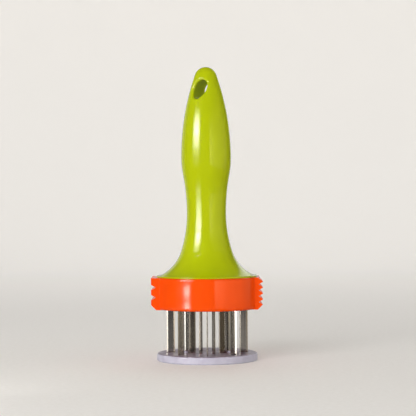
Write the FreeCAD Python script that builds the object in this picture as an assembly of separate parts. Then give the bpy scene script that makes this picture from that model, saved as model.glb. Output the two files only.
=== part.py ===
import FreeCAD, Part
import math
import os

from FreeCAD import Vector

# A press-down blade meat tenderizer. A bell-footed handle is screwed to a drum head that holds two
# rings of flat blades; a round guard plate hides the blade points until the handle is pushed down.
# The plate hangs on two posts, whose crosspiece works against one spring in the handle's core.
#
# Millimetres. The origin is the centre of the guard plate's underside and +Z runs up the tool's
# axis to the handle's tip. The coarse mallet pad faces -X and the fine one faces +X.

# Main stack along the axis, with the guard plate down
plate_thickness = 5.0
guard_gap = 29.2            # from the guard plate's top face to the drum's underside
head_height = 20.9
handle_height = 139.1       # from the drum's top face to the handle's tip
guard_travel = 16.0

# Clearances
stop_gap = 0.2              # between the crosspiece and what stops it, at both ends of its travel
guide_clearance = 0.08      # radial, of the posts in the blade block, which guides them
loose_clearance = 0.3       # round whatever passes through a part that doesn't guide it
seat_clearance = 0.05       # round what is pushed into its seat and stays there

# Guard plate
plate_step = 1.7            # the plate is this much smaller than the drum in radius
plate_top_easing = 1.3
plate_bottom_chamfer = 0.6
slot_lead_in = 0.5          # chamfer at the mouth of each blade slot
collar_wall = 1.8
collar_height = 1.2
socket_floor = 2.2          # plate left under each post

# Drum head
head_radius = 35.0
head_wall = 3.0
head_floor = 3.0
head_top_chamfer = 0.6
head_bottom_easing = 1.6

# Mallet pads, a block of teeth on each side of the drum
pad_stand = 1.5             # the tooth tips stand this far out of the drum
pad_width = 32.0
pad_chamfer = 3.3           # along each pad's lower outer edge
coarse_pitch = 6.6
coarse_columns = 5
coarse_depth = 3.0
coarse_land = 3.2
coarse_top = 6.1            # from the drum's top face down to the first row's groove
fine_pitch = 3.85
fine_columns = 8
fine_depth = 2.7
fine_land = 0.6
fine_top = 0.6

# Blades
blades_per_ring = 8
outer_ring_inset = 7.85     # from the drum's inner wall to the middle of a blade's width
ring_gap = 13.05            # between the two rings
blade_width = 5.5
blade_thickness = 0.8
blade_inset = 4.4           # from the plate's top face down to the points, guard plate down
tip_bevel = 4.5             # height of the long slanting edge
tip_heel = 1.4              # height of the short edge behind the point
tip_heel_width = 1.2
tip_grind = 1.6             # width of the bevels ground on both faces of the slanting edge
side_grind = 0.9            # the same along the long edges
edge_thickness = 0.12
tee_overhang = 0.8
tee_height = 1.2

# Blade block and the plate that clamps the blades in it
block_thickness = 4.5
block_play = 0.4
clamp_thickness = 1.5
clamp_play = 0.6
clamp_window_radius = 5.5

# Guide posts and their screws
post_radius = 2.0
post_spacing = 28.0
spigot_radius = 1.5         # stepped end of a post, in the crosspiece
post_screw_radius = 1.0
post_screw_length = 7.0
post_head_radius = 2.5
post_head_height = 1.4
foot_screw_radius = 1.2
foot_screw_length = 8.0
foot_head_radius = 2.3

# Crosspiece
yoke_thickness = 3.5
yoke_hub_radius = 9.0
yoke_arm_radius = 3.2
yoke_web = 1.7              # crosspiece left under each post screw's head

# Return spring
spring_radius = 7.5
wire_radius = 0.6
wire_sides = 4
spring_turns = 7
spring_guide_height = 5.0
seat_disc_thickness = 1.6
seat_play = 0.25

# Handle: the lip that sits on the drum, then arcs that run into each other up to the tip
lip_step = 1.6              # the lip is this much smaller than the drum in radius
lip_height = 1.1
lip_chamfer = 0.4
lip_ledge = 2.4             # flat top of the lip, outside the bell's foot
neck_arc = 83.0             # hollow arc from the waist down to the bell's flare
neck_turn = 18.0            # angle it turns through before the flare takes over
waist_radius = 13.05
waist_height = 42.4         # above the drum
belly_radius = 16.6
belly_height = 79.4         # above the drum
belly_low_arc = 60.0        # round arc below the belly
tip_arc = 7.6               # round arc over the tip, which the belly's long arc runs into

# Handle: inside
bell_wall_side = 2.2
bell_wall_top = 2.2
plug_depth = 6.0            # how far the handle's rim plugs into the drum
plug_wall = 2.5
ledge_width = 1.6           # shoulder in the core that the spring works against
core_end_wall = 16.0        # solid stretch between the hollow core and the hanging hole
core_end_bevel = 4.0
core_cones = 2              # straight steps in which each arc of the bell is cored out
rib_count = 6
rib_thickness = 1.6
rib_height = 18.0
rib_gap = 1.7               # between the spring and the ribs' inner edges

# Handle screws, up through the drum's floor
screw_count = 4
screw_start_angle = 22.5    # half a step between two blades of the outer ring
screw_inset = 4.1           # from the drum's inner wall to a screw's centre
screw_radius = 1.45
screw_head_radius = 2.9
screw_head_height = 1.5
screw_sunk = 0.15
screw_length = 18.0
boss_wall = 1.8

# Hanging hole, an oval right through the handle near its tip
hole_width = 8.8
hole_height = 13.2
hole_end_arc = 3.2          # round arc at the oval's ends, which its flanks run into
hole_below_tip = 15.4
hole_turn = 27.0            # from -Y towards -X
hole_lean = 18.0            # of the oval's long axis, its top towards +X
hole_round = 1.2

# Heights that follow from the stack
plate_top = plate_thickness
head_bottom = plate_top + guard_gap
head_top = head_bottom + head_height
tip_top = head_top + handle_height
floor_top = head_bottom + head_floor
block_top = floor_top + block_thickness
clamp_top = block_top + clamp_thickness
blade_tip = plate_top - blade_inset
yoke_bottom = clamp_top + stop_gap
yoke_top = yoke_bottom + yoke_thickness
stop_level = yoke_top + guard_travel + stop_gap
waist_level = head_top + waist_height
belly_level = head_top + belly_height
lip_top = head_top + lip_height
ledge_level = waist_level - bell_wall_top
seat_bottom = ledge_level - seat_disc_thickness

# Radii that follow
cup_radius = head_radius - head_wall
plate_radius = head_radius - plate_step
pad_reach = head_radius + pad_stand
outer_ring_radius = cup_radius - outer_ring_inset
inner_ring_radius = outer_ring_radius - ring_gap
lip_radius = head_radius - lip_step
bell_foot_radius = lip_radius - lip_ledge
screw_pitch_radius = cup_radius - screw_inset
plug_radius = cup_radius - loose_clearance
core_radius = waist_radius - bell_wall_side
spring_guide_radius = spring_radius - 2 * wire_radius - loose_clearance
boss_radius = screw_radius + boss_wall

post_places = {"left": -post_spacing / 2, "right": post_spacing / 2}
screw_angles = [screw_start_angle + 360 / screw_count * i for i in range(screw_count)]
axis_foot = Vector(0, 0, 0)
up = Vector(0, 0, 1)
spare = 1.0                 # how far a cutting body runs past what it cuts


def cylinder(radius, low, high, x=0.0, y=0.0):
    return Part.makeCylinder(radius, high - low, Vector(x, y, low))


def cone(low_radius, high_radius, low, high, x=0.0, y=0.0):
    return Part.makeCone(low_radius, high_radius, high - low, Vector(x, y, low))


def slab(low_corner, high_corner):
    size = Vector(*high_corner) - Vector(*low_corner)
    return Part.makeBox(size.x, size.y, size.z, Vector(*low_corner))


def turned(shape, degrees):
    copy = shape.copy()
    copy.rotate(axis_foot, up, degrees)
    return copy


def at_angle(radius, degrees):
    return radius * math.cos(math.radians(degrees)), radius * math.sin(math.radians(degrees))


def section_point(point):
    return Vector(point[0], 0, point[1])


def line(start, end):
    return Part.LineSegment(section_point(start), section_point(end)).toShape()


def lines(points):
    return [line(start, end) for start, end in zip(points, points[1:])]


def revolved(edges):
    """Turn a closed outline in the XZ plane about the tool's axis."""
    return Part.Face(Part.Wire(edges)).revolve(axis_foot, up, 360)


def edged_disc(radius, low, high, eased, chamfered, eased_at_top):
    """Disc with one edge chamfered and the other eased over in two flats."""
    sharp, soft, upwards = (low, high, 1) if eased_at_top else (high, low, -1)
    corner = eased * (1 - math.cos(math.radians(45)))
    return revolved(lines([
        (0, sharp), (radius - chamfered, sharp), (radius, sharp + upwards * chamfered),
        (radius, soft - upwards * eased), (radius - corner, soft - upwards * corner),
        (radius - eased, soft), (0, soft), (0, sharp)]))


def prism(points, travel):
    """Sweep a flat polygon along a vector."""
    return Part.Face(Part.makePolygon(points + points[:1])).extrude(travel)


def joined(shapes):
    return shapes[0].multiFuse(shapes[1:]) if len(shapes) > 1 else shapes[0]


def save(node, shape):
    shape.exportStep(f"parts/{node}.step")


# --- blades ---------------------------------------------------------------------------------------

def ring_angles(ring):
    half_step = 180 / blades_per_ring if ring == "inner" else 0
    return [half_step + 360 / blades_per_ring * i for i in range(blades_per_ring)]


blade_rings = {"outer": outer_ring_radius, "inner": inner_ring_radius}


def blade_places():
    return [(blade_rings[ring], angle) for ring in blade_rings for angle in ring_angles(ring)]


def grinding_wedge(edge_start, edge_end, width, side):
    """Wedge that thins one face of a blade towards an edge; the blade lies to the edge's left."""
    along = (section_point(edge_end) - section_point(edge_start)).normalize()
    inwards = Vector(-along.z, 0, along.x)
    sideways = Vector(0, side, 0)
    start = section_point(edge_start) - along * spare
    run = along * (math.dist(edge_start, edge_end) + 2 * spare)
    face = blade_thickness / 2
    slope = (face - edge_thickness / 2) / width
    back = start + inwards * width + sideways * face
    low = start - inwards * spare + sideways * (edge_thickness / 2 - slope * spare)
    high = start - inwards * spare + sideways * (face + spare)
    return prism([back, low, high], run)


def blade(ring_radius):
    """Flat blade with a tee at its top, ground along its slanting point and both long edges."""
    inside = ring_radius - blade_width / 2
    outside = ring_radius + blade_width / 2
    point = (inside + tip_heel_width, blade_tip)
    shoulder = (outside, blade_tip + tip_bevel)
    tee_bottom = block_top - tee_height
    outline = [point, shoulder, (outside, tee_bottom), (outside + tee_overhang, tee_bottom),
               (outside + tee_overhang, block_top), (inside - tee_overhang, block_top),
               (inside - tee_overhang, tee_bottom), (inside, tee_bottom),
               (inside, blade_tip + tip_heel)]
    start = Vector(0, -blade_thickness / 2, 0)
    body = prism([section_point(p) + start for p in outline], Vector(0, blade_thickness, 0))
    edges = [(point, shoulder, tip_grind), (shoulder, (outside, head_bottom), side_grind),
             ((inside, head_bottom), (inside, blade_tip + tip_heel), side_grind)]
    return body.cut([grinding_wedge(*edge, side) for edge in edges for side in (-1, 1)])


def blade_slot(ring_radius, play, low, high):
    """Straight slot that a blade passes through, with the same play all round."""
    half_thickness = blade_thickness / 2 + play
    half_width = blade_width / 2 + play
    return slab((ring_radius - half_width, -half_thickness, low),
                (ring_radius + half_width, half_thickness, high))


def tee_slot(ring_radius):
    """Square-ended slot in the blade block, with the recess that the tee hangs in."""
    half_thickness = blade_thickness / 2 + seat_clearance
    half_width = blade_width / 2 + seat_clearance
    half_tee = half_width + tee_overhang
    return joined([
        slab((ring_radius - half_width, -half_thickness, floor_top - spare),
             (ring_radius + half_width, half_thickness, block_top + spare)),
        slab((ring_radius - half_tee, -half_thickness, block_top - tee_height),
             (ring_radius + half_tee, half_thickness, block_top + spare))])


def make_blades():
    for ring, radius in blade_rings.items():
        first = blade(radius)
        for number, angle in enumerate(ring_angles(ring), start=1):
            save(f"blade_{ring}_{number}", turned(first, angle))


# --- screws ---------------------------------------------------------------------------------------

def countersunk_screw(x, y, low, head_radius, head_height, shank_radius, length):
    """Screw that points up, its flat head at the bottom."""
    head = cone(head_radius, shank_radius, low, low + head_height, x, y)
    shank = cylinder(shank_radius, low + head_height, low + length, x, y)
    return head.fuse(shank)


def countersink(x, y, low, head_radius, head_height, shank_radius):
    """Seat for that head, with its mouth at the face that the screw is driven from."""
    seat = cone(head_radius, shank_radius, low, low + head_height, x, y)
    mouth = cylinder(head_radius, low - screw_sunk - spare, low, x, y)
    return mouth.fuse(seat)


def screw_places():
    return [at_angle(screw_pitch_radius, angle) for angle in screw_angles]


def make_head_screws():
    low = head_bottom + screw_sunk
    screws = [countersunk_screw(x, y, low, screw_head_radius, screw_head_height, screw_radius,
                                screw_length) for x, y in screw_places()]
    save("head_screws", Part.makeCompound(screws))


# --- drum head ------------------------------------------------------------------------------------

def groove(depth, mouth, side, level):
    """V groove along Y in the pad on one side, with its bottom line at the given height."""
    reach = side * (pad_reach + spare)
    bottom = side * (pad_reach - depth)
    half_mouth = mouth / 2 * (depth + spare) / depth
    points = [Vector(bottom, -pad_width, level), Vector(reach, -pad_width, level - half_mouth),
              Vector(reach, -pad_width, level + half_mouth)]
    return prism(points, Vector(0, 2 * pad_width, 0))


def upright_groove(depth, mouth, side, place):
    """The same groove turned upright, to part the ridges into teeth."""
    reach = side * (pad_reach + spare)
    bottom = side * (pad_reach - depth)
    half_mouth = mouth / 2 * (depth + spare) / depth
    low = head_bottom - spare
    points = [Vector(bottom, place, low), Vector(reach, place - half_mouth, low),
              Vector(reach, place + half_mouth, low)]
    return prism(points, Vector(0, 0, head_height + 2 * spare))


def chamfer_wedge(side):
    """Wedge that takes the lower outer edge off the pad on one side."""
    foot = side * (pad_reach - pad_chamfer - spare)
    reach = side * (pad_reach + spare)
    low = head_bottom - spare
    points = [Vector(foot, -pad_width, low), Vector(reach, -pad_width, low),
              Vector(reach, -pad_width, head_bottom + pad_chamfer + spare)]
    return prism(points, Vector(0, 2 * pad_width, 0))


def pad_teeth(side, pitch, columns, depth, land, top):
    """All grooves of one pad: rows from its top down to the chamfer, columns from its middle."""
    rows = int((head_height - top - pad_chamfer) / pitch) + 1
    levels = [head_top - top - i * pitch for i in range(rows)]
    column_pitch = pad_width / columns
    places = [-pad_width / 2 + i * column_pitch for i in range(1, columns)]
    rows_cut = [groove(depth, pitch - land, side, level) for level in levels]
    columns_cut = [upright_groove(depth, column_pitch - land, side, place) for place in places]
    return rows_cut + columns_cut


def make_head():
    drum = edged_disc(head_radius, head_bottom, head_top, head_bottom_easing, head_top_chamfer, False)
    half = pad_width / 2
    inner = cup_radius / 2
    pads = [slab((-pad_reach, -half, head_bottom), (-inner, half, head_top)),
            slab((inner, -half, head_bottom), (pad_reach, half, head_top))]
    head = joined([drum] + pads)
    head = head.cut([chamfer_wedge(-1), chamfer_wedge(1)])
    head = head.cut(pad_teeth(-1, coarse_pitch, coarse_columns, coarse_depth, coarse_land, coarse_top)
                    + pad_teeth(1, fine_pitch, fine_columns, fine_depth, fine_land, fine_top))
    cuts = [cylinder(cup_radius, floor_top, head_top + spare)]
    for radius, angle in blade_places():
        slot = blade_slot(radius, loose_clearance, head_bottom - spare, floor_top + spare)
        cuts.append(turned(slot, angle))
    for x in post_places.values():
        cuts.append(cylinder(post_radius + loose_clearance, head_bottom - spare,
                             floor_top + spare, x))
    for x, y in screw_places():
        cuts.append(countersink(x, y, head_bottom + screw_sunk, screw_head_radius,
                                screw_head_height, screw_radius))
        cuts.append(cylinder(screw_radius + seat_clearance, head_bottom, floor_top + spare, x, y))
    save("tenderizer_head", head.cut(cuts).removeSplitter())


# --- what holds the blades in the drum ------------------------------------------------------------

def make_blade_block():
    block = cylinder(cup_radius - block_play, floor_top, block_top)
    cuts = [turned(tee_slot(radius), angle) for radius, angle in blade_places()]
    for x in post_places.values():
        cuts.append(cylinder(post_radius + guide_clearance, floor_top - spare,
                             block_top + spare, x))
    for x, y in screw_places():
        cuts.append(cylinder(screw_radius + loose_clearance, floor_top - spare,
                             block_top + spare, x, y))
    save("blade_block", block.cut(cuts).removeSplitter())


def make_clamp_plate():
    plate = cylinder(cup_radius - clamp_play, block_top, clamp_top)
    cuts = [cylinder(clamp_window_radius, block_top - spare, clamp_top + spare)]
    for x in post_places.values():
        cuts.append(cylinder(post_radius + loose_clearance, block_top - spare,
                             clamp_top + spare, x))
    for x, y in screw_places():
        cuts.append(cylinder(screw_radius + loose_clearance, block_top - spare,
                             clamp_top + spare, x, y))
    save("blade_clamp_plate", plate.cut(cuts))


# --- guard ----------------------------------------------------------------------------------------

def slot_mouth(ring_radius):
    """Flared mouth of a blade slot in the guard plate's top face."""
    narrow = blade_thickness / 2 + loose_clearance
    half_width = blade_width / 2 + loose_clearance
    low = plate_top - slot_lead_in
    wide = narrow + slot_lead_in + spare
    left = ring_radius - half_width
    flank = [Vector(left, -narrow, low), Vector(left, narrow, low),
             Vector(left, wide, plate_top + spare), Vector(left, -wide, plate_top + spare)]
    return prism(flank, Vector(2 * half_width, 0, 0))


def make_guard_plate():
    plate = edged_disc(plate_radius, 0, plate_top, plate_top_easing, plate_bottom_chamfer, True)
    collars = [cylinder(post_radius + collar_wall, plate_top - spare, plate_top + collar_height, x)
               for x in post_places.values()]
    plate = joined([plate] + collars)
    cuts = []
    for radius, angle in blade_places():
        cuts.append(turned(blade_slot(radius, loose_clearance, -spare, plate_top + spare), angle))
        cuts.append(turned(slot_mouth(radius), angle))
    for x in post_places.values():
        cuts.append(cylinder(post_radius + seat_clearance, socket_floor,
                             plate_top + collar_height + spare, x))
        cuts.append(countersink(x, 0, screw_sunk, foot_head_radius,
                                foot_head_radius - foot_screw_radius, foot_screw_radius))
        cuts.append(cylinder(foot_screw_radius + seat_clearance, 0, plate_top, x))
    save("guard_plate", plate.cut(cuts).removeSplitter())


def make_guide_posts():
    """Each post has a stepped top end for the crosspiece and a tapped hole in both ends."""
    shoulder = yoke_bottom
    end = yoke_bottom + yoke_web - seat_clearance
    for side, x in post_places.items():
        post = cylinder(post_radius, socket_floor, shoulder, x)
        post = post.fuse(cylinder(spigot_radius, shoulder, end, x))
        top_hole = cylinder(post_screw_radius + seat_clearance, end - post_screw_length - spare,
                            end, x)
        foot_hole = cylinder(foot_screw_radius + seat_clearance, socket_floor,
                             screw_sunk + foot_screw_length + spare, x)
        save(f"guide_post_{side}", post.cut([top_hole, foot_hole]))


def make_post_screws():
    head_low = yoke_bottom + yoke_web
    top_screws = []
    foot_screws = []
    for x in post_places.values():
        head = cylinder(post_head_radius, head_low, head_low + post_head_height, x)
        shank = cylinder(post_screw_radius, head_low - post_screw_length, head_low, x)
        top_screws.append(head.fuse(shank))
        foot_screws.append(countersunk_screw(x, 0, screw_sunk, foot_head_radius,
                                             foot_head_radius - foot_screw_radius,
                                             foot_screw_radius, foot_screw_length))
    save("post_top_screws", Part.makeCompound(top_screws))
    save("post_foot_screws", Part.makeCompound(foot_screws))


def make_yoke():
    """Crosspiece: a hub with a raised guide for the spring, and an arm out to each post."""
    hub = cylinder(yoke_hub_radius, yoke_bottom, yoke_top)
    guide = cylinder(spring_guide_radius, yoke_top, yoke_top + spring_guide_height)
    bar = slab((-post_spacing / 2, -yoke_arm_radius, yoke_bottom),
               (post_spacing / 2, yoke_arm_radius, yoke_top))
    eyes = [cylinder(yoke_arm_radius, yoke_bottom, yoke_top, x) for x in post_places.values()]
    cuts = []
    for x in post_places.values():
        cuts.append(cylinder(spigot_radius + seat_clearance, yoke_bottom, yoke_top, x))
        cuts.append(cylinder(post_head_radius + seat_clearance, yoke_bottom + yoke_web,
                             yoke_top + spare, x))
    save("spring_yoke", joined([hub, guide, bar] + eyes).cut(cuts).removeSplitter())


def make_spring():
    """Compression spring with flat ground ends, between the crosspiece and its seat."""
    length = seat_bottom - yoke_top
    pitch = length / spring_turns
    mean_radius = spring_radius - wire_radius
    low = yoke_top - pitch / 2
    helix = Part.makeHelix(pitch, length + pitch, mean_radius)
    helix.translate(Vector(0, 0, low))
    flats = [math.radians(360 / wire_sides * i) for i in range(wire_sides + 1)]
    section = Part.makePolygon([Vector(mean_radius + wire_radius * math.cos(flat), 0,
                                       low + wire_radius * math.sin(flat)) for flat in flats])
    coil = Part.Wire(helix.Edges).makePipeShell([section], True, True)
    save("return_spring", coil.common(cylinder(spring_radius + spare, yoke_top, seat_bottom)))


def make_spring_seat():
    disc = cylinder(core_radius - seat_play, seat_bottom, ledge_level)
    pin = cylinder(spring_guide_radius, seat_bottom - spring_guide_height, seat_bottom)
    save("spring_seat", disc.fuse(pin))


# --- handle ---------------------------------------------------------------------------------------

def flare_arc():
    """Centre and radius of the bell's flare, which leaves the neck arc and ends on the lip."""
    turn = math.radians(neck_turn)
    start = Vector(waist_radius + neck_arc * (1 - math.cos(turn)), 0,
                   waist_level - neck_arc * math.sin(turn))
    outwards = Vector(math.cos(turn), 0, math.sin(turn))
    gap = Vector(bell_foot_radius, 0, lip_top) - start
    radius = gap.Length ** 2 / (2 * gap.dot(outwards))
    return start + outwards * radius, radius


def bell_arcs():
    """The bell from the lip up to the waist, as (centre, radius, first angle, last angle)."""
    flare_centre, flare_radius = flare_arc()
    foot = Vector(bell_foot_radius, 0, lip_top) - flare_centre
    foot_angle = math.degrees(math.atan2(foot.z, foot.x))
    neck_centre = Vector(waist_radius + neck_arc, 0, waist_level)
    return [(flare_centre, flare_radius, foot_angle, neck_turn - 180),
            (neck_centre, neck_arc, neck_turn - 180, -180)]


def grip_arcs():
    """Waist to tip. The first arc and the long one over the belly follow from being tangent."""
    rise = belly_level - waist_level
    swell = belly_radius - waist_radius
    turn = 2 * math.atan2(swell, rise)
    waist_arc = rise / math.sin(turn) - belly_low_arc
    turn = math.degrees(turn)
    tip_centre = Vector(0, 0, tip_top - tip_arc)
    climb = tip_centre.z - belly_level
    nose_arc = (belly_radius ** 2 + climb ** 2 - tip_arc ** 2) / (2 * (belly_radius - tip_arc))
    nose_centre = Vector(belly_radius - nose_arc, 0, belly_level)
    nose_turn = math.degrees(math.atan2(climb, nose_arc - belly_radius))
    return [(Vector(waist_radius + waist_arc, 0, waist_level), waist_arc, 180, 180 - turn),
            (Vector(belly_radius - belly_low_arc, 0, belly_level), belly_low_arc, -turn, 0),
            (nose_centre, nose_arc, 0, nose_turn),
            (tip_centre, tip_arc, nose_turn, 90)]


def on_arc(arc, share):
    centre, radius, first, last = arc
    angle = math.radians(first + (last - first) * share)
    return centre + Vector(math.cos(angle), 0, math.sin(angle)) * radius


def arc_edge(arc):
    return Part.Arc(on_arc(arc, 0), on_arc(arc, 0.5), on_arc(arc, 1)).toShape()


def arc_edges(arc):
    """The arc in patches no longer than the handle is thick."""
    centre, radius, first, last = arc
    count = math.ceil(radius * math.radians(abs(last - first)) / belly_radius)
    stops = [first + (last - first) * i / count for i in range(count + 1)]
    return [arc_edge((centre, radius, start, end)) for start, end in zip(stops, stops[1:])]


def bell_inside_points():
    """The bell's arcs moved in and down by the wall, in straight steps."""
    places = [on_arc(arc, i / core_cones) for arc in bell_arcs() for i in range(core_cones)]
    places.append(on_arc(bell_arcs()[-1], 1))
    return [(place.x - bell_wall_side, place.z - bell_wall_top) for place in places]


def handle_outside():
    lip_side = lip_top - lip_chamfer
    return revolved(
        lines([(0, head_top), (lip_radius, head_top), (lip_radius, lip_side),
               (lip_radius - lip_chamfer, lip_top), (bell_foot_radius, lip_top)])
        + [edge for arc in bell_arcs() + grip_arcs() for edge in arc_edges(arc)]
        + [line((0, tip_top), (0, head_top))])


def handle_inside():
    """Bell cavity, ledge and core with a bevelled end, all open downwards."""
    bell = bell_inside_points()
    plug_inside = plug_radius - plug_wall
    bore = core_radius - ledge_width
    end = tip_top - hole_below_tip - hole_height / 2 - core_end_wall
    return revolved(lines([
        (0, clamp_top), (plug_inside, clamp_top), (plug_inside, bell[0][1])] + bell + [
        (bore, ledge_level), (bore, end - core_end_bevel), (bore - core_end_bevel, end),
        (0, end), (0, clamp_top)]))


def hole_arcs():
    """Upright oval about the origin: a flank, an end and their opposites, all tangent."""
    half_width = hole_width / 2
    rise = hole_height / 2 - hole_end_arc
    flank_arc = (half_width ** 2 + rise ** 2 - hole_end_arc ** 2) / (2 * (half_width - hole_end_arc))
    shift = flank_arc - half_width
    turn = math.degrees(math.atan2(rise, shift))
    return [(Vector(-shift, 0, 0), flank_arc, -turn, turn),
            (Vector(0, 0, rise), hole_end_arc, turn, 180 - turn),
            (Vector(shift, 0, 0), flank_arc, 180 - turn, 180 + turn),
            (Vector(0, 0, -rise), hole_end_arc, 180 + turn, 360 - turn)]


def hanging_hole():
    """Oval bar right through the handle, its long axis leaning."""
    oval = Part.Wire([arc_edge(arc) for arc in hole_arcs()])
    bar = Part.Face(oval).extrude(Vector(0, 4 * belly_radius, 0))
    bar.rotate(axis_foot, Vector(0, 1, 0), hole_lean)
    bar.translate(Vector(0, -2 * belly_radius, tip_top - hole_below_tip))
    return turned(bar, -hole_turn)


def make_handle():
    outside = handle_outside()
    inside = handle_inside()
    below = cylinder(plug_radius, clamp_top, head_top)
    plug = cylinder(plug_radius, head_top - plug_depth, head_top)
    envelope = outside.fuse(below)
    ribs = []
    for number in range(rib_count):
        rib = slab((spring_radius + rib_gap, -rib_thickness / 2, stop_level),
                   (bell_foot_radius, rib_thickness / 2, stop_level + rib_height))
        ribs.append(turned(rib, 360 / rib_count * number).common(outside))
    bosses = [cylinder(boss_radius, clamp_top, waist_level, x, y).common(envelope)
              for x, y in screw_places()]
    pilots = [cylinder(screw_radius + seat_clearance, clamp_top - spare,
                       head_bottom + screw_sunk + screw_length + spare, x, y)
              for x, y in screw_places()]
    shell = outside.fuse(plug).cut(inside)
    handle = shell.multiFuse(ribs + bosses).cut(pilots + [hanging_hole()]).removeSplitter()
    save("handle", softened_hole(handle))


def softened_hole(handle):
    """Round the rims where the hanging hole breaks the handle's outside."""
    level = tip_top - hole_below_tip
    rims = []
    for edge in handle.Edges:
        middle = edge.CenterOfMass
        if abs(middle.z - level) < hole_height / 2 and math.hypot(middle.x, middle.y) > hole_width / 2:
            rims.append(edge)
    return handle.makeFillet(hole_round, rims)


os.makedirs("parts", exist_ok=True)
make_handle()
make_head()
make_blade_block()
make_clamp_plate()
make_blades()
make_guard_plate()
make_guide_posts()
make_yoke()
make_spring()
make_spring_seat()
make_head_screws()
make_post_screws()
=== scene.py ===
import math

import bmesh
import bpy
from mathutils import Euler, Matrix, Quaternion, Vector


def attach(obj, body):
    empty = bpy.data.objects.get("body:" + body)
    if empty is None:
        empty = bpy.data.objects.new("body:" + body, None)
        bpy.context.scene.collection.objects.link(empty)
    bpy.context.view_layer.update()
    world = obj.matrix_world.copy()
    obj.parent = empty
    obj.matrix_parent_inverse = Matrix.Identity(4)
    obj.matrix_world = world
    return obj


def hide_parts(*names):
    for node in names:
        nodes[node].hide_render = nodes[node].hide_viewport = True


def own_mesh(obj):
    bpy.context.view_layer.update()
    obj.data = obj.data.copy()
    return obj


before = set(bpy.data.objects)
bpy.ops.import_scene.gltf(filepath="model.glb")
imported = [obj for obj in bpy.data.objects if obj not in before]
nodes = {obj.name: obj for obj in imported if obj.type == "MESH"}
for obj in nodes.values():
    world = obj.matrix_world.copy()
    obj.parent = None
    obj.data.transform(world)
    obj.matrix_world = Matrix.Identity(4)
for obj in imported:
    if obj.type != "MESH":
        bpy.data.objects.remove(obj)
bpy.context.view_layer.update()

# Finishes, small fittings and studio for a press-down blade meat tenderizer.
# All of it stands where the CAD frame has it: +Z up the tool's axis, the coarse mallet pad on
# -X, the fine one on +X, the front towards -Y. Lengths in the dictionaries of finishes and
# fittings are in millimetres, and those of the studio are in metres

mm = 0.001
handleBody = "handle_and_head"
guardBody = "guard"


def linear(hexColour):
    # sRGB hex to the linear colour that a shader works in
    def channel(pair):
        value = int(pair, 16) / 255
        return value / 12.92 if value <= 0.04045 else ((value + 0.055) / 1.055) ** 2.4
    text = hexColour.lstrip("#")
    return tuple(channel(text[i:i + 2]) for i in (0, 2, 4)) + (1.0,)


def inMetres(sizes):
    return tuple(size * mm for size in sizes)


def perMetre(size):
    # texture scale for a pattern whose features are this many millimetres apart
    return 1 / (size * mm)


def newMaterial(name):
    material = bpy.data.materials.new(name)
    material.use_nodes = True
    material.node_tree.nodes.clear()
    return material


def addNode(material, kind, inputs=None, output=0, **settings):
    # adds a node with its settings, fills its sockets with values or links, gives one output
    tree = material.node_tree
    node = tree.nodes.new(kind)
    for name, value in settings.items():
        setattr(node, name, value)
    for socket, value in (inputs or {}).items():
        if isinstance(value, bpy.types.NodeSocket):
            tree.links.new(value, node.inputs[socket])
        else:
            node.inputs[socket].default_value = value
    return node.outputs[output] if len(node.outputs) else node


def addObject(name, data):
    piece = bpy.data.objects.new(name, data)
    bpy.context.scene.collection.objects.link(piece)
    return piece


def meshFrom(builder, name):
    builder.normal_update()
    data = bpy.data.meshes.new(name)
    builder.to_mesh(data)
    builder.free()
    return data


# ABS, injection moulded in a polished mould: a bright, nearly wet gloss over an even colour.
# The melt's flow gives slow streaks up the part, the mould's halves leave a hair seam at Y = 0,
# and handling leaves dust and hairlines that break the gloss up close. Real dust and hairlines
# are about ten times finer, and are drawn as coarse as they need to be to show. softEdge and
# padEdge round the corners in the shading only
greenAbs = dict(base="#BAC70A", shade="#A9B805", light="#CCD32A", ior=1.54,
                roughness=0.085, uneven=(0.85, 1.35),       # shares of the roughness
                flow=26.0, flowStretch=0.35, ripple=3.2, rippleDepth=0.0030,
                scratch=5.0, scratchStretch=0.06, scratchWidth=0.012, scratchDepth=0.002,
                scratchDull=0.05, dust=0.9,
                softEdge=0.35, padEdge=0.35, padStart=28.0, padBlend=1.5,
                seam=0.09, seamDepth=0.02, milky=0.20, milkyReach=(2.4, 2.2, 0.6))
orangeAbs = dict(greenAbs, base="#FF5203", shade="#F44A00", light="#FF6A24", roughness=0.08,
                 flow=18.0, ripple=2.6, rippleDepth=0.0035, scratch=4.0,
                 softEdge=1.6, padEdge=0.25, padStart=26.0, milky=0.06)


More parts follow.
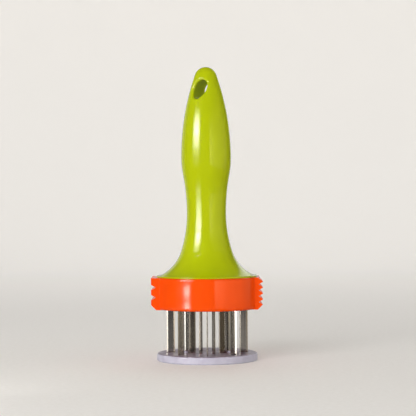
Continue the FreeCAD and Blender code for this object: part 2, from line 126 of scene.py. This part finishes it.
def polishedAbs(name, look):
    material = newMaterial(name)
    place = addNode(material, "ShaderNodeTexCoord", output="Object")
    streaks = addNode(material, "ShaderNodeMapping",
                      {"Vector": place, "Scale": (1, 1, look["flowStretch"])})
    flow = addNode(material, "ShaderNodeTexNoise",
                   {"Vector": streaks, "Scale": perMetre(look["flow"]), "Detail": 3.0,
                    "Roughness": 0.55, "Distortion": 0.6})
    speck = addNode(material, "ShaderNodeTexNoise",
                    {"Vector": place, "Scale": perMetre(look["dust"]), "Detail": 4.0,
                     "Roughness": 0.7})
    ripple = addNode(material, "ShaderNodeTexNoise",
                     {"Vector": place, "Scale": perMetre(look["ripple"]), "Detail": 1.5})
    slanted = addNode(material, "ShaderNodeMapping",
                      {"Vector": place, "Scale": (1, 1, look["scratchStretch"]),
                       "Rotation": (0.5, 0.35, 0.2)})
    cells = addNode(material, "ShaderNodeTexVoronoi",
                    {"Vector": slanted, "Scale": perMetre(look["scratch"]), "Randomness": 1.0},
                    output="Distance", feature="DISTANCE_TO_EDGE")
    hairline = addNode(material, "ShaderNodeMapRange",
                       {"Value": cells, "From Min": 0.0, "From Max": look["scratchWidth"],
                        "To Min": 1.0, "To Max": 0.0})
    streaked = addNode(material, "ShaderNodeMapRange",
                       {"Value": flow, "From Min": 0.35, "From Max": 0.7,
                        "To Min": 0.0, "To Max": 0.4})
    dusty = addNode(material, "ShaderNodeMapRange",
                    {"Value": speck, "From Min": 0.55, "From Max": 0.8,
                     "To Min": 0.0, "To Max": 0.2})
    colour = addNode(material, "ShaderNodeMix",
                     {0: streaked, 6: linear(look["base"]), 7: linear(look["shade"])},
                     output=2, data_type="RGBA")
    colour = addNode(material, "ShaderNodeMix", {0: dusty, 6: colour, 7: linear(look["light"])},
                     output=2, data_type="RGBA")
    smooth, dull = look["uneven"]
    gloss = addNode(material, "ShaderNodeMapRange",
                    {"Value": speck, "From Min": 0.3, "From Max": 0.75,
                     "To Min": look["roughness"] * smooth, "To Max": look["roughness"] * dull})
    gloss = addNode(material, "ShaderNodeMath",
                    {0: hairline, 1: look["scratchDull"], 2: gloss}, operation="MULTIPLY_ADD")
    # the parting seam, where the mould's halves meet
    folded = addNode(material, "ShaderNodeVectorMath", {0: place}, operation="ABSOLUTE")
    seam = addNode(material, "ShaderNodeSeparateXYZ", {0: folded}, output="Y")
    seam = addNode(material, "ShaderNodeMapRange",
                   {"Value": seam, "From Min": 0.0, "From Max": look["seam"] * mm,
                    "To Min": 1.0, "To Max": 0.0}, interpolation_type="SMOOTHSTEP")
    # the round walls have fuller edges than the pads and their teeth
    edge = addNode(material, "ShaderNodeSeparateXYZ", {0: folded}, output="X")
    edge = addNode(material, "ShaderNodeMapRange",
                   {"Value": edge, "From Min": look["padStart"] * mm,
                    "From Max": (look["padStart"] + look["padBlend"]) * mm,
                    "To Min": look["softEdge"] * mm, "To Max": look["padEdge"] * mm})
    normal = addNode(material, "ShaderNodeBevel", {"Radius": edge}, samples=8)
    normal = addNode(material, "ShaderNodeBump",
                     {"Strength": 0.35, "Distance": look["rippleDepth"] * mm, "Height": ripple,
                      "Normal": normal})
    normal = addNode(material, "ShaderNodeBump",
                     {"Strength": 0.5, "Distance": look["seamDepth"] * mm, "Height": seam,
                      "Normal": normal})
    normal = addNode(material, "ShaderNodeBump",
                     {"Strength": 0.08, "Distance": look["scratchDepth"] * mm,
                      "Height": hairline, "Normal": normal}, invert=True)
    shader = addNode(material, "ShaderNodeBsdfPrincipled",
                     {"Base Color": colour, "Roughness": gloss, "IOR": look["ior"],
                      "Normal": normal, "Subsurface Weight": look["milky"],
                      "Subsurface Radius": inMetres(look["milkyReach"]),
                      "Subsurface Scale": 1.0})
    addNode(material, "ShaderNodeOutputMaterial", {"Surface": shader})
    return material


# Polypropylene, moulded in a spark-textured mould: waxy and milky, light passes a little way in,
# and the ejector pins leave four witness rings underneath. The grain is really about 0.05 mm,
# and is drawn far coarser than that on all three plastics so that it shows
# On all three plastics below, top is painted shade: a darker colour laid on faces that look up
whitePp = dict(base="#CBC9D9", shade="#B1ABBF", top="#7A6F82", ior=1.49,
               roughness=0.32, uneven=(0.85, 1.2),          # shares of the roughness
               grain=0.8, cloud=7.0, depth=0.006, milky=0.25, milkyReach=(1.5, 1.3, 1.4),
               softEdge=0.25, pinPlace=(19.0, 14.0, 0.0), pinRadius=2.0, pinEdge=0.12,
               pinDepth=0.05)
# Acetal, moulded: harder and smoother than polypropylene, the same milk-white right through
whiteAcetal = dict(whitePp, base="#E7E5DC", shade="#D8D5C8", top="#DDDBD0", ior=1.48,
                   roughness=0.28, grain=0.9, depth=0.004, milky=0.2, softEdge=0.3,
                   pinPlace=(5.5, 0.0, 43.4), pinRadius=1.0)
# ABS in mid grey, moulded in a mould left as it was milled: dull, with a fine even grain
greyAbs = dict(whitePp, base="#45454A", shade="#38383D", top="#3A3A3F", ior=1.54,
               roughness=0.45, grain=0.7, cloud=12.0, depth=0.008, milky=0.0, softEdge=0.2,
               pinPlace=(20.0, 11.0, 37.2), pinRadius=1.5)


def satinPlastic(name, look):
    material = newMaterial(name)
    place = addNode(material, "ShaderNodeTexCoord", output="Object")
    cloud = addNode(material, "ShaderNodeTexNoise",
                    {"Vector": place, "Scale": perMetre(look["cloud"]), "Detail": 4.0})
    grain = addNode(material, "ShaderNodeTexNoise",
                    {"Vector": place, "Scale": perMetre(look["grain"]), "Detail": 3.0,
                     "Roughness": 0.65})
    mottled = addNode(material, "ShaderNodeMapRange",
                      {"Value": cloud, "From Min": 0.38, "From Max": 0.66,
                       "To Min": 0.0, "To Max": 0.45})
    colour = addNode(material, "ShaderNodeMix",
                     {0: mottled, 6: linear(look["base"]), 7: linear(look["shade"])},
                     output=2, data_type="RGBA")
    # painted shade: faces that look up get the darker top colour, in patches set by the clouds,
    # standing in for the shade and dim reflections that fall on them
    paintedShadeMask = addNode(material, "ShaderNodeNewGeometry", output="Normal")
    paintedShadeMask = addNode(material, "ShaderNodeSeparateXYZ", {0: paintedShadeMask}, output="Z")
    paintedShadeMask = addNode(material, "ShaderNodeMapRange",
                      {"Value": paintedShadeMask, "From Min": 0.5, "From Max": 0.95})
    patchyPaintedShade = addNode(material, "ShaderNodeMapRange",
                     {"Value": cloud, "From Min": 0.4, "From Max": 0.6,
                      "To Min": 0.45, "To Max": 0.95})
    paintedShadeMask = addNode(material, "ShaderNodeMath", {0: paintedShadeMask, 1: patchyPaintedShade}, operation="MULTIPLY")
    colour = addNode(material, "ShaderNodeMix", {0: paintedShadeMask, 6: colour, 7: linear(look["top"])},
                     output=2, data_type="RGBA")
    smooth, dull = look["uneven"]
    gloss = addNode(material, "ShaderNodeMapRange",
                    {"Value": grain, "From Min": 0.3, "From Max": 0.7,
                     "To Min": look["roughness"] * smooth, "To Max": look["roughness"] * dull})
    # the same pin mark in all four quarters
    folded = addNode(material, "ShaderNodeVectorMath", {0: place}, operation="ABSOLUTE")
    toPin = addNode(material, "ShaderNodeVectorMath", {0: folded, 1: inMetres(look["pinPlace"])},
                    output="Value", operation="DISTANCE")
    pin = addNode(material, "ShaderNodeMapRange",
                  {"Value": toPin, "From Min": look["pinRadius"] * mm,
                   "From Max": (look["pinRadius"] + look["pinEdge"]) * mm,
                   "To Min": 0.0, "To Max": 1.0}, interpolation_type="SMOOTHSTEP")
    normal = addNode(material, "ShaderNodeBevel", {"Radius": look["softEdge"] * mm}, samples=6)
    normal = addNode(material, "ShaderNodeBump",
                     {"Strength": 0.5, "Distance": look["depth"] * mm, "Height": grain,
                      "Normal": normal})
    normal = addNode(material, "ShaderNodeBump",
                     {"Strength": 0.6, "Distance": look["pinDepth"] * mm, "Height": pin,
                      "Normal": normal})
    shader = addNode(material, "ShaderNodeBsdfPrincipled",
                     {"Base Color": colour, "Roughness": gloss, "IOR": look["ior"],
                      "Normal": normal, "Subsurface Weight": look["milky"],
                      "Subsurface Radius": inMetres(look["milkyReach"]),
                      "Subsurface Scale": 1.0})
    addNode(material, "ShaderNodeOutputMaterial", {"Surface": shader})
    return material


# Each metal's line is the size of its marks along X, Y and Z. Real grinding, rolling and drawing
# marks are 0.02 to 0.1 mm wide, and are drawn as coarse as they need to be to show

# Stainless strip, belt ground along its length: bright, with fine straight lines up each blade
groundSteel = dict(base="#CFCAC3", dull="#A39E97", roughness=0.15, spread=0.08,
                   line=(0.35, 0.35, 60.0), lineDepth=0.002, cloud=6.0, softEdge=0.12)
# Cold rolled sheet: flatter and greyer, with soft drawn-out mill marks across the plate
rolledSteel = dict(base="#B9B7B3", dull="#9C9A97", roughness=0.32, spread=0.16,
                   line=(9.0, 0.5, 9.0), lineDepth=0.004, cloud=6.0, softEdge=0.15)
# Silver steel rod, centreless ground: near mirror, with hair rings round the post
polishedRod = dict(base="#D6D4D0", dull="#BDBBB7", roughness=0.12, spread=0.10,
                   line=(6.0, 6.0, 0.25), lineDepth=0.002, cloud=6.0, softEdge=0.15)
# Zinc plated screw steel: bluish white with a cloudy passivated film
zincPlate = dict(base="#C6CBD0", dull="#A7ADB5", roughness=0.26, spread=0.18,
                 line=(0.9, 0.9, 0.9), lineDepth=0.003, cloud=6.0, softEdge=0.12)
# Hard drawn spring wire: dark grey with lines along the coil
drawnWire = dict(base="#8E9095", dull="#6F7176", roughness=0.30, spread=0.12,
                 line=(2.5, 2.5, 0.3), lineDepth=0.003, cloud=6.0, softEdge=0.05)


def bareMetal(name, look):
    material = newMaterial(name)
    place = addNode(material, "ShaderNodeTexCoord", output="Object")
    drawnOut = addNode(material, "ShaderNodeMapping",
                       {"Vector": place, "Scale": tuple(1 / size for size in look["line"])})
    lines = addNode(material, "ShaderNodeTexNoise",
                    {"Vector": drawnOut, "Scale": perMetre(1.0), "Detail": 4.0,
                     "Roughness": 0.6})
    cloud = addNode(material, "ShaderNodeTexNoise",
                    {"Vector": place, "Scale": perMetre(look["cloud"]), "Detail": 2.0})
    lined = addNode(material, "ShaderNodeMapRange",
                    {"Value": lines, "From Min": 0.3, "From Max": 0.75,
                     "To Min": 0.0, "To Max": 1.0})
    clouded = addNode(material, "ShaderNodeMapRange",
                      {"Value": cloud, "From Min": 0.4, "From Max": 0.8,
                       "To Min": 0.0, "To Max": 0.35})
    colour = addNode(material, "ShaderNodeMix",
                     {0: lined, 6: linear(look["base"]), 7: linear(look["dull"])},
                     output=2, data_type="RGBA")
    colour = addNode(material, "ShaderNodeMix", {0: clouded, 6: colour, 7: linear(look["dull"])},
                     output=2, data_type="RGBA")
    gloss = addNode(material, "ShaderNodeMapRange",
                    {"Value": lines, "From Min": 0.25, "From Max": 0.8,
                     "To Min": look["roughness"] - look["spread"] / 2,
                     "To Max": look["roughness"] + look["spread"]})
    normal = addNode(material, "ShaderNodeBevel", {"Radius": look["softEdge"] * mm}, samples=6)
    normal = addNode(material, "ShaderNodeBump",
                     {"Strength": 0.6, "Distance": look["lineDepth"] * mm, "Height": lines,
                      "Normal": normal})
    shader = addNode(material, "ShaderNodeBsdfPrincipled",
                     {"Base Color": colour, "Metallic": 1.0, "Roughness": gloss,
                      "Normal": normal})
    addNode(material, "ShaderNodeOutputMaterial", {"Surface": shader})
    return material


zinc = bareMetal("zincPlatedSteel", zincPlate)
wire = bareMetal("drawnSpringWire", drawnWire)
finishes = {
    "handle": polishedAbs("polishedGreenAbs", greenAbs),
    "tenderizer_head": polishedAbs("polishedOrangeAbs", orangeAbs),
    "guard_plate": satinPlastic("satinWhitePolypropylene", whitePp),
    "spring_yoke": satinPlastic("mouldedAcetal", whiteAcetal),
    "blade_block": satinPlastic("matteGreyAbs", greyAbs),
    "blade_clamp_plate": bareMetal("rolledSteelSheet", rolledSteel),
    "return_spring": wire,
    "guide_post_left": bareMetal("groundSteelRod", polishedRod),
    "blade": bareMetal("groundBladeStrip", groundSteel),
}
finishes["spring_seat"] = finishes["spring_yoke"]
finishes["guide_post_right"] = finishes["guide_post_left"]
for name, node in nodes.items():
    kind = "blade" if name.startswith(("blade_outer", "blade_inner")) else name
    node.data.materials.clear()
    node.data.materials.append(finishes.get(kind, zinc))        # only screws are left
print("finishes on", len(nodes), "nodes")


# Cross recesses, which the plain CAD screws don't have. Reach is how far a cross's arms go from
# its middle, and wing is half their width
recesses = {
    "head_screws": dict(body=handleBody, up=False, reach=1.75, wing=0.42, depth=1.1),
    "post_foot_screws": dict(body=guardBody, up=False, reach=1.4, wing=0.36, depth=0.9),
    "post_top_screws": dict(body=guardBody, up=True, reach=1.5, wing=0.38, depth=0.9),
}
# the plug that cuts them: its size at the mouth and the foot as shares, and how far out it starts
plug = dict(mouth=1.12, foot=0.45, lead=0.1)


def screwCentres(data):
    # centre and both ends of each separate screw in a mesh
    builder = bmesh.new()
    builder.from_mesh(data)
    waiting = set(builder.verts)
    screws = []
    while waiting:
        island, frontier = set(), [waiting.pop()]
        while frontier:
            vertex = frontier.pop()
            island.add(vertex)
            near = [link.other_vert(vertex) for link in vertex.link_edges]
            frontier += [other for other in near if other in waiting]
            waiting.difference_update(near)
        spans = [[vertex.co[axis] for vertex in island] for axis in range(3)]
        screws.append(((min(spans[0]) + max(spans[0])) / 2, (min(spans[1]) + max(spans[1])) / 2,
                       min(spans[2]), max(spans[2])))
    builder.free()
    return sorted(screws)


def addCross(builder, x, y, face, look):
    # a plus-shaped plug that narrows with depth, from just outside the driven face
    inwards = -1 if look["up"] else 1
    reach, wing = look["reach"] * mm, look["wing"] * mm
    corners = []
    for quarter in range(4):
        turn = math.pi / 2 * quarter
        for along, aside in ((reach, -wing), (reach, wing), (wing, wing)):
            corners.append((along * math.cos(turn) - aside * math.sin(turn),
                            along * math.sin(turn) + aside * math.cos(turn)))
    rings = []
    for share, level in ((plug["mouth"], -plug["lead"] * mm), (plug["foot"], look["depth"] * mm)):
        rings.append([builder.verts.new((x + a * share, y + b * share, face + inwards * level))
                      for a, b in corners])
    builder.faces.new(rings[0])
    builder.faces.new(list(reversed(rings[1])))
    for i in range(len(corners)):
        after = (i + 1) % len(corners)
        builder.faces.new((rings[0][i], rings[1][i], rings[1][after], rings[0][after]))


def makeDrivenScrews(node, look):
    screws = addObject(node + "_driven", nodes[node].data.copy())
    plugs = bmesh.new()
    for x, y, low, high in screwCentres(screws.data):
        addCross(plugs, x, y, high if look["up"] else low, look)
    bmesh.ops.recalc_face_normals(plugs, faces=plugs.faces)
    cutter = addObject(node + "_cutter", meshFrom(plugs, node + "_cutter"))
    cut = screws.modifiers.new("crossRecess", "BOOLEAN")
    cut.operation, cut.solver, cut.object = "DIFFERENCE", "EXACT", cutter
    bpy.context.view_layer.update()
    ready = screws.evaluated_get(bpy.context.evaluated_depsgraph_get())
    screws.data = bpy.data.meshes.new_from_object(ready)
    screws.modifiers.clear()
    bpy.data.objects.remove(cutter)
    screws.data.materials.clear()
    screws.data.materials.append(zinc)
    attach(screws, look["body"])
    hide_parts(node)


for node, look in recesses.items():
    makeDrivenScrews(node, look)
print("screws driven:", len(recesses), "kinds")


# Return spring of round wire. Closed is how much of a turn is wound shut at each end, and keep is
# the share of its length that is left when the guard is right up
spring = dict(radius=7.5, wire=0.58, turns=7, low=46.9, high=93.7, closed=0.9, sides=14,
              stepsPerTurn=40, keep=0.658)


def makeSpring(look):
    builder = bmesh.new()
    steps = look["turns"] * look["stepsPerTurn"]
    mean = look["radius"] - look["wire"]
    bottom, top = look["low"] + look["wire"], look["high"] - look["wire"]
    deadRise = 2 * look["wire"] * look["closed"]
    openRise = (top - bottom - 2 * deadRise) / (look["turns"] - 2 * look["closed"])
    rings = []
    for i in range(steps + 1):
        turn = i / look["stepsPerTurn"]
        fromEnd = min(turn, look["turns"] - turn)
        climb = min(fromEnd, look["closed"]) * 2 * look["wire"]
        climb += max(fromEnd - look["closed"], 0) * openRise
        level = bottom + climb if turn <= look["turns"] / 2 else top - climb
        angle = 2 * math.pi * turn
        outwards = Vector((math.cos(angle), math.sin(angle), 0))
        ring = []
        for side in range(look["sides"]):
            lean = 2 * math.pi * side / look["sides"]
            out = mean + look["wire"] * math.cos(lean)
            height = level + look["wire"] * math.sin(lean)
            ring.append(builder.verts.new((outwards.x * out * mm, outwards.y * out * mm,
                                           height * mm)))
        rings.append(ring)
    for first, second in zip(rings, rings[1:]):
        for side in range(look["sides"]):
            after = (side + 1) % look["sides"]
            face = builder.faces.new((first[side], second[side], second[after], first[after]))
            face.smooth = True
    builder.faces.new(rings[0])
    builder.faces.new(list(reversed(rings[-1])))
    bmesh.ops.recalc_face_normals(builder, faces=builder.faces)
    coil = addObject("round_wire_spring", meshFrom(builder, "round_wire_spring"))
    coil.data.materials.append(wire)
    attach(coil, handleBody)
    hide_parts("return_spring")
    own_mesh(coil)


makeSpring(spring)
print("spring wound:", spring["turns"], "turns")


# Paper all round: a disc of floor that sweeps up into a round wall. Single fibres are too fine
# to show, so they are drawn as clouds. Their fibreSize is in millimetres
paper = dict(base="#EFEDEA", fibre="#DEDBD6", fibreSize=3.0, roughness=0.9,
             glow=0.10, backGlow=0.26, backStart=0.2,
             innerRadius=0.3, sweepRadius=0.5, sweepSteps=16, wallRadius=1.8, wallHeight=2.4,
             segments=96)


def ringOf(builder, radius, height, segments):
    # level points all round the tool's axis
    return [builder.verts.new((radius * math.cos(2 * math.pi * i / segments),
                               radius * math.sin(2 * math.pi * i / segments), height))
            for i in range(segments)]


def makePaper(look):
    sweepStart = look["wallRadius"] - look["sweepRadius"]
    profile = [(look["innerRadius"], 0.0), (sweepStart, 0.0)]
    for i in range(1, look["sweepSteps"] + 1):
        turn = math.pi / 2 * i / look["sweepSteps"]
        profile.append((look["wallRadius"] - look["sweepRadius"] * (1 - math.sin(turn)),
                        look["sweepRadius"] * (1 - math.cos(turn))))
    profile.append((look["wallRadius"], look["wallHeight"]))
    builder = bmesh.new()
    middle = builder.verts.new((0, 0, 0))
    rings = [ringOf(builder, radius, height, look["segments"]) for radius, height in profile]
    for i in range(look["segments"]):
        after = (i + 1) % look["segments"]
        builder.faces.new((middle, rings[0][i], rings[0][after]))
        for inner, outer in zip(rings, rings[1:]):
            builder.faces.new((inner[i], outer[i], outer[after], inner[after])).smooth = True
    stage = addObject("studio_paper", meshFrom(builder, "studio_paper"))
    # uncoated paper, lit evenly by lamps out of sight: flat white with a faint fibre
    material = newMaterial("studioPaper")
    place = addNode(material, "ShaderNodeTexCoord", output="Object")
    fibre = addNode(material, "ShaderNodeTexNoise",
                    {"Vector": place, "Scale": perMetre(look["fibreSize"]), "Detail": 5.0})
    fibre = addNode(material, "ShaderNodeMapRange",
                    {"Value": fibre, "From Min": 0.3, "From Max": 0.7,
                     "To Min": 0.0, "To Max": 0.3})
    colour = addNode(material, "ShaderNodeMix",
                     {0: fibre, 6: linear(look["base"]), 7: linear(look["fibre"])},
                     output=2, data_type="RGBA")
    depth = addNode(material, "ShaderNodeSeparateXYZ", {0: place}, output="Y")
    glow = addNode(material, "ShaderNodeMapRange",
                   {"Value": depth, "From Min": look["backStart"], "From Max": look["wallRadius"],
                    "To Min": look["glow"], "To Max": look["backGlow"]},
                   interpolation_type="SMOOTHSTEP")
    shader = addNode(material, "ShaderNodeBsdfPrincipled",
                     {"Base Color": colour, "Roughness": look["roughness"],
                      "Emission Color": colour, "Emission Strength": glow})
    addNode(material, "ShaderNodeOutputMaterial", {"Surface": shader})
    stage.data.materials.append(material)
    stage.visible_glossy = False        # the room that the gloss mirrors is dark, but for the cards


makePaper(paper)
print("paper laid")


def awayFrom(azimuth, elevation):
    # the direction out of the tool. Azimuth is from the front, to the right as positive
    turn, rise = math.radians(azimuth), math.radians(elevation)
    return Vector((math.sin(turn) * math.cos(rise), -math.cos(turn) * math.cos(rise),
                   math.sin(rise)))


# Soft lights for the shading, all aimed at the tool's middle
aim = Vector((0, 0, 0.1))
lamps = {
    "keyLamp": dict(azimuth=-28, elevation=18, distance=1.65, width=1.0, height=0.9, level=5.6),
    "fillLamp": dict(azimuth=75, elevation=25, distance=1.65, width=1.1, height=1.0, level=0.35),
    "backLamp": dict(azimuth=175, elevation=40, distance=1.9, width=1.4, height=1.0, level=1.0),
    "topLamp": dict(azimuth=0, elevation=88, distance=1.3, width=1.2, height=1.2, level=0.2),
}


def addLamp(name, look):
    data = bpy.data.lights.new(name, "AREA")
    data.shape = "RECTANGLE"
    data.size, data.size_y = look["width"], look["height"]
    data.energy = look["level"] * math.pi * look["width"] * look["height"]
    away = awayFrom(look["azimuth"], look["elevation"])
    lamp = addObject(name, data)
    lamp.location = aim + away * look["distance"]
    lamp.rotation_euler = away.to_track_quat("Z", "Y").to_euler()
    lamp.visible_camera = lamp.visible_glossy = False


for name, look in lamps.items():
    addLamp(name, look)


# Glowing cards that only the gloss mirrors. Each ramp is (place along the card, share of level):
# across runs towards the larger azimuth, upright from the lower end to the higher. Most of them
# reach below the floor, where surfaces that are seen from above look for their reflection.
# waistCard hangs close in, where the hollow waist gathers its gloss, and leans back so that the
# bell's flare below it meets it edge on
cards = {
    "keyCard": dict(azimuth=-48, distance=0.8, width=0.60, low=-0.04, high=0.60, level=22.0,
                    tint="#FFFDF6",
                    across=[(0.0, 0.0), (0.20, 0.5), (0.42, 1.0), (0.70, 1.0), (1.0, 0.0)],
                    upright=[(0.0, 0.0), (0.10, 0.02), (0.17, 0.04), (0.25, 0.05),
                             (0.36, 0.09), (0.39, 0.14), (0.43, 0.38), (0.50, 0.66),
                             (0.56, 0.95), (0.62, 1.0), (0.69, 0.80), (0.79, 0.32),
                             (0.86, 0.08), (0.92, 0.0)]),
    "waistCard": dict(azimuth=-40, distance=0.05, width=0.03, low=0.0935, high=0.1065,
                      level=12.2, tint="#FFFDF6", lean=45,
                      across=[(0.0, 0.0), (0.3, 1.0), (0.7, 1.0), (1.0, 0.0)],
                      upright=[(0.0, 0.0), (0.06, 0.5), (0.108, 1.0), (0.169, 1.0),
                               (0.228, 0.9), (0.323, 0.6), (0.379, 0.7), (0.477, 0.54),
                               (0.577, 0.48), (0.69, 0.3), (0.838, 0.15), (1.0, 0.0)]),
    "lowKeyCard": dict(azimuth=-48, distance=0.2, width=0.16, low=-0.09, high=0.044,
                       level=13.0, tint="#FFFDF6",
                       across=[(0.0, 0.0), (0.40, 0.03), (0.50, 0.2), (0.63, 1.0),
                               (0.74, 1.0), (0.86, 0.0)],
                       upright=[(0.0, 0.0), (0.5, 0.25), (0.80, 0.5), (0.845, 1.0),
                                (0.875, 1.0), (0.888, 0.1), (0.908, 0.1), (0.925, 0.75),
                                (0.942, 1.0), (0.965, 1.0), (0.99, 0.0)]),
    "sideCard": dict(azimuth=62, distance=0.8, width=1.62, low=-0.25, high=0.60, level=2.1,
                     tint="#FFE9B8",
                     across=[(0.0, 1.0), (0.16, 0.6), (0.35, 0.3), (0.7, 0.2), (1.0, 0.25)],
                     upright=[(0.0, 0.0), (0.235, 0.06), (0.285, 1.0), (0.6, 1.0), (1.0, 0.0)]),
    "rimCard": dict(azimuth=-150, distance=1.0, width=1.5, low=-0.1, high=0.55, level=0.6,
                    tint="#FFFFFF",
                    across=[(0.0, 0.8), (0.5, 1.0), (1.0, 0.0)],
                    upright=[(0.0, 0.6), (0.3, 1.0), (0.7, 1.0), (1.0, 0.0)]),
    "backCard": dict(azimuth=160, distance=0.9, width=0.5, low=-0.1, high=0.8, level=1.4,
                     tint="#FFFFFF",
                     across=[(0.0, 0.0), (0.4, 1.0), (0.6, 1.0), (1.0, 0.0)],
                     upright=[(0.0, 0.3), (0.5, 1.0), (0.8, 0.8), (1.0, 0.0)]),
}
# A low ring that only the steel and the plate's rim look down into. Each of its tones is
# (azimuth, share of level), so that every blade face picks up its own
ring = dict(radius=0.30, low=-0.16, high=0.010, segments=64, level=1.0, tint="#FFF9F3",
            tones=[(-180, 0.3), (-131, 0.3), (-112, 0.05), (-92, 0.03), (-85, 0.4), (-60, 0.2),
                   (-52, 1.2), (-47, 1.2), (-45, 0.2), (-41, 0.1), (-39, 1.1), (-34, 1.0),
                   (-28, 0.1), (-7, 0.13), (6, 0.35), (15, 0.15), (37, 0.03), (42, 0.1),
                   (47, 0.45), (60, 0.2), (85, 0.04), (91, 0.15), (125, 0.1), (134, 0.9),
                   (138, 0.2), (180, 0.3)])


def finishGlow(card, material, look, ways):
    # each way is (place along the card from 0 to 1, steps of its grey ramp) and weighs the level
    level = look["level"]
    for share, steps in ways:
        ramp = addNode(material, "ShaderNodeValToRGB", {0: share})
        elements = ramp.node.color_ramp.elements
        while len(elements) < len(steps):
            elements.new(1.0)
        for element, (position, value) in zip(elements, steps):
            element.position = position
            element.color = (value, value, value, 1)
        level = addNode(material, "ShaderNodeMath", {0: ramp, 1: level}, operation="MULTIPLY")
    # the glow adds to what stands behind the card and hides none of it
    glow = addNode(material, "ShaderNodeEmission",
                   {"Color": linear(look["tint"]), "Strength": level})
    clear = addNode(material, "ShaderNodeBsdfTransparent")
    shader = addNode(material, "ShaderNodeAddShader", {0: glow, 1: clear})
    addNode(material, "ShaderNodeOutputMaterial", {"Surface": shader})
    card.data.materials.append(material)
    card.visible_camera = card.visible_diffuse = card.visible_shadow = False
    card.visible_transmission = card.visible_volume_scatter = False


def addCard(name, look):
    builder = bmesh.new()
    lean = math.radians(look.get("lean", 0))        # its top tilts away from the tool
    half, tall = look["width"] / 2, (look["high"] - look["low"]) / 2 / math.cos(lean)
    builder.faces.new([builder.verts.new(corner) for corner in
                       ((-half, -tall, 0), (half, -tall, 0), (half, tall, 0), (-half, tall, 0))])
    card = addObject(name, meshFrom(builder, name))
    away = awayFrom(look["azimuth"], 0)
    facing = away.to_track_quat("Z", "Y")
    card.location = away * look["distance"] + Vector((0, 0, (look["low"] + look["high"]) / 2))
    card.rotation_euler = (facing @ Quaternion((1, 0, 0), lean)).to_euler()
    material = newMaterial(name + "Glow")
    place = addNode(material, "ShaderNodeTexCoord", output="Object")
    ways = []
    for axis, extent, steps in (("X", half, look["across"]), ("Y", tall, look["upright"])):
        share = addNode(material, "ShaderNodeSeparateXYZ", {0: place}, output=axis)
        share = addNode(material, "ShaderNodeMapRange",
                        {"Value": share, "From Min": -extent, "From Max": extent})
        ways.append((share, steps))
    finishGlow(card, material, look, ways)


def addRing(look):
    builder = bmesh.new()
    low, high = [ringOf(builder, look["radius"], level, look["segments"])
                 for level in (look["low"], look["high"])]
    for i in range(look["segments"]):
        after = (i + 1) % look["segments"]
        builder.faces.new((low[i], low[after], high[after], high[i]))
    hoop = addObject("lowRing", meshFrom(builder, "lowRing"))
    material = newMaterial("lowRingGlow")
    place = addNode(material, "ShaderNodeTexCoord", output="Object")
    along = addNode(material, "ShaderNodeSeparateXYZ", {0: place}, output="X")
    aside = addNode(material, "ShaderNodeSeparateXYZ", {0: place}, output="Y")
    aside = addNode(material, "ShaderNodeMath", {0: aside, 1: -1.0}, operation="MULTIPLY")
    turn = addNode(material, "ShaderNodeMath", {0: along, 1: aside}, operation="ARCTAN2")
    turn = addNode(material, "ShaderNodeMapRange",
                   {"Value": turn, "From Min": -math.pi, "From Max": math.pi})
    steps = [(0.5 + azimuth / 360, tone) for azimuth, tone in look["tones"]]
    finishGlow(hoop, material, look, [(turn, steps)])


for name, look in cards.items():
    addCard(name, look)
addRing(ring)
print(len(lamps), "lamps,", len(cards), "cards and a ring hung")


# A dim, slightly cool room fills what the lamps and cards leave dark
room = dict(colour="#F9FAFF", level=0.05)
world = bpy.data.worlds.new("studioRoom")
bpy.context.scene.world = world
world.use_nodes = True
world.node_tree.nodes["Background"].inputs["Color"].default_value = linear(room["colour"])
world.node_tree.nodes["Background"].inputs["Strength"].default_value = room["level"]
bpy.context.scene.view_settings.view_transform = "Standard"

# A long lens, about level with the tool's waist. Focal and sensor are in mm, roll is in degrees
lens = dict(distance=0.951, height=0.1007, sideways=0.00103, focal=124.0, sensor=36.0, roll=0.35)

cameraData = bpy.data.cameras.new("camera")
cameraData.lens = lens["focal"]
cameraData.sensor_width = lens["sensor"]
camera = addObject("camera", cameraData)
camera.location = (lens["sideways"], -lens["distance"], lens["height"])
camera.rotation_euler = Euler((math.radians(90), math.radians(lens["roll"]), 0))
bpy.context.scene.camera = camera
print("studio and camera set")
